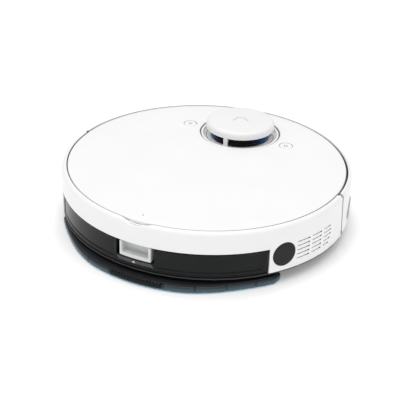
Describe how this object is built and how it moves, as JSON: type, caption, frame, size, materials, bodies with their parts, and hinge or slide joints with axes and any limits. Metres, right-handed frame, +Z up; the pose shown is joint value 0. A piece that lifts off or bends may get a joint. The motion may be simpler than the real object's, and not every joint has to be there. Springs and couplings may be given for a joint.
{
  "type": "robot vacuum",
  "caption": "Low round robot vacuum and mop with a scanning turret on its lid, a sprung front bumper, slide-out rear tank, mop plate, drive wheels, caster and brushes.",
  "frame": {"origin": "on the floor under the middle of the whole outline, which is 3.5 mm behind the centre of the round body", "axes": "+Z up, -Y forward (the bumper's side), +Y towards the tank and mop plate, +X the robot's left"},
  "size_m": [0.35, 0.357, 0.092],
  "materials": {
    "white_shell": "satin",
    "smoked_plastic": "gloss",
    "dark_plastic": "matte",
    "grey_plastic": "matte",
    "silver_latch": "satin",
    "sensor_window": "gloss",
    "rubber": "matte",
    "steel": "brushed",
    "brass": "polished",
    "mop_cloth": "matte",
    "filter_paper": "matte",
    "circuit_board": "satin",
    "battery_wrap": "satin",
    "brush_blue": "matte"
  },
  "bodies": {
    "base": {"chassis": "dark_plastic", "main_frame": "grey_plastic", "side_shell": "white_shell", "turret_bowl": "white_shell", "turret_cap": "white_shell", "lidar_base": "grey_plastic", "lidar_bearing": "steel", "lidar_motor": "steel", "lidar_belt": "rubber", "brush_housing": "dark_plastic", "brush_guard": "dark_plastic", "brush_motor": "steel", "brush_bearing_L": "brass", "brush_bearing_R": "brass", "arm_pin_L": "steel", "arm_pin_R": "steel", "arm_spring_L": "steel", "arm_spring_R": "steel", "caster_socket": "dark_plastic", "side_brush_motor": "steel", "fan_housing": "dark_plastic", "fan_motor": "steel", "battery": "battery_wrap", "battery_door": "dark_plastic", "door_screw_L": "steel", "door_screw_R": "steel", "charge_contact_L": "brass", "charge_contact_R": "brass", "main_board": "circuit_board", "speaker": "dark_plastic"},
    "bumper": {"bumper": "white_shell", "bumper_window": "sensor_window", "side_window": "grey_plastic"},
    "lid": {"top_cover": "white_shell"},
    "home_button": {"home_button": "white_shell"},
    "power_button": {"power_button": "white_shell"},
    "lidar_rotor": {"lidar_rotor": "sensor_window", "lidar_lens": "sensor_window"},
    "lidar_pulley": {"lidar_pulley": "white_shell"},
    "tank": {"water_tank": "smoked_plastic", "dust_box": "smoked_plastic", "bin_lid": "smoked_plastic", "filter": "filter_paper", "water_plug": "rubber"},
    "tank_latch": {"tank_latch": "silver_latch"},
    "mop": {"mop_plate": "smoked_plastic", "mop_pad": "mop_cloth"},
    "port_plug": {"port_plug": "dark_plastic"},
    "arm_L": {"wheel_arm_L": "grey_plastic"},
    "arm_R": {"wheel_arm_R": "grey_plastic"},
    "wheel_L": {"wheel_hub_L": "grey_plastic", "wheel_tyre_L": "rubber"},
    "wheel_R": {"wheel_hub_R": "grey_plastic", "wheel_tyre_R": "rubber"},
    "caster": {"caster_yoke": "dark_plastic", "caster_axle": "steel"},
    "caster_wheel": {"caster_wheel": "rubber"},
    "main_brush": {"main_brush": "brush_blue"},
    "side_brush": {"side_brush": "grey_plastic"},
    "fan_impeller": {"fan_impeller": "white_shell"}
  },
  "joints": [
    {"name": "bumper_press", "type": "slide", "parent": "base", "child": "bumper", "axis": [0, 1, 0], "range_m": [0, 0.002], "stiffness_N_per_m": 400},
    {"name": "cover_lift", "type": "slide", "parent": "base", "child": "lid", "axis": [0, 0, 1], "range_m": [0, 0.04]},
    {"name": "home_press", "type": "slide", "parent": "base", "child": "home_button", "axis": [0, 0, -1], "range_m": [0, 0.0006], "stiffness_N_per_m": 600},
    {"name": "power_press", "type": "slide", "parent": "base", "child": "power_button", "axis": [0, 0, -1], "range_m": [0, 0.0006], "stiffness_N_per_m": 600},
    {"name": "lidar_spin", "type": "hinge", "parent": "base", "child": "lidar_rotor", "pos_m": [0, -0.0979, 0.076], "axis": [0, 0, 1], "continuous": true},
    {"name": "lidar_pulley_spin", "type": "hinge", "parent": "base", "child": "lidar_pulley", "pos_m": [0.046, -0.0979, 0.0625], "axis": [0, 0, 1], "continuous": true},
    {"name": "tank_slide", "type": "slide", "parent": "base", "child": "tank", "axis": [0, 1, 0], "range_m": [0, 0.17]},
    {"name": "latch_press", "type": "slide", "parent": "tank", "child": "tank_latch", "axis": [0, -1, 0], "range_m": [0, 0.003], "stiffness_N_per_m": 500},
    {"name": "mop_slide", "type": "slide", "parent": "base", "child": "mop", "axis": [0, 1, 0], "range_m": [0, 0.11]},
    {"name": "port_plug_pull", "type": "slide", "parent": "base", "child": "port_plug", "axis": [-0.831, 0.5563, 0], "range_m": [0, 0.012]},
    {"name": "arm_swing_L", "type": "hinge", "parent": "base", "child": "arm_L", "pos_m": [0.134, 0.0325, 0.028], "axis": [1, 0, 0], "range_deg": [0, 20], "stiffness_Nm_per_rad": 0.3, "springref_deg": 28.65},
    {"name": "wheel_spin_L", "type": "hinge", "parent": "arm_L", "child": "wheel_L", "pos_m": [0.113, -0.0035, 0.031], "axis": [1, 0, 0], "continuous": true},
    {"name": "arm_swing_R", "type": "hinge", "parent": "base", "child": "arm_R", "pos_m": [-0.134, 0.0325, 0.028], "axis": [1, 0, 0], "range_deg": [0, 20], "stiffness_Nm_per_rad": 0.3, "springref_deg": 28.65},
    {"name": "wheel_spin_R", "type": "hinge", "parent": "arm_R", "child": "wheel_R", "pos_m": [-0.113, -0.0035, 0.031], "axis": [1, 0, 0], "continuous": true},
    {"name": "caster_swivel", "type": "hinge", "parent": "base", "child": "caster", "pos_m": [0, -0.1415, 0.02], "axis": [0, 0, 1], "continuous": true},
    {"name": "caster_roll", "type": "hinge", "parent": "caster", "child": "caster_wheel", "pos_m": [0, -0.1375, 0.013], "axis": [1, 0, 0], "continuous": true},
    {"name": "main_brush_spin", "type": "hinge", "parent": "base", "child": "main_brush", "pos_m": [0, -0.0055, 0.0225], "axis": [1, 0, 0], "continuous": true},
    {"name": "side_brush_spin", "type": "hinge", "parent": "base", "child": "side_brush", "pos_m": [-0.112, -0.0955, 0.007], "axis": [0, 0, 1], "continuous": true},
    {"name": "fan_spin", "type": "hinge", "parent": "base", "child": "fan_impeller", "pos_m": [-0.122, 0.0625, 0.03], "axis": [0, 0, 1], "continuous": true}
  ],
  "couplings": [
    {"joint": "lidar_pulley_spin", "follows": "lidar_spin", "ratio": 3.45}
  ]
}
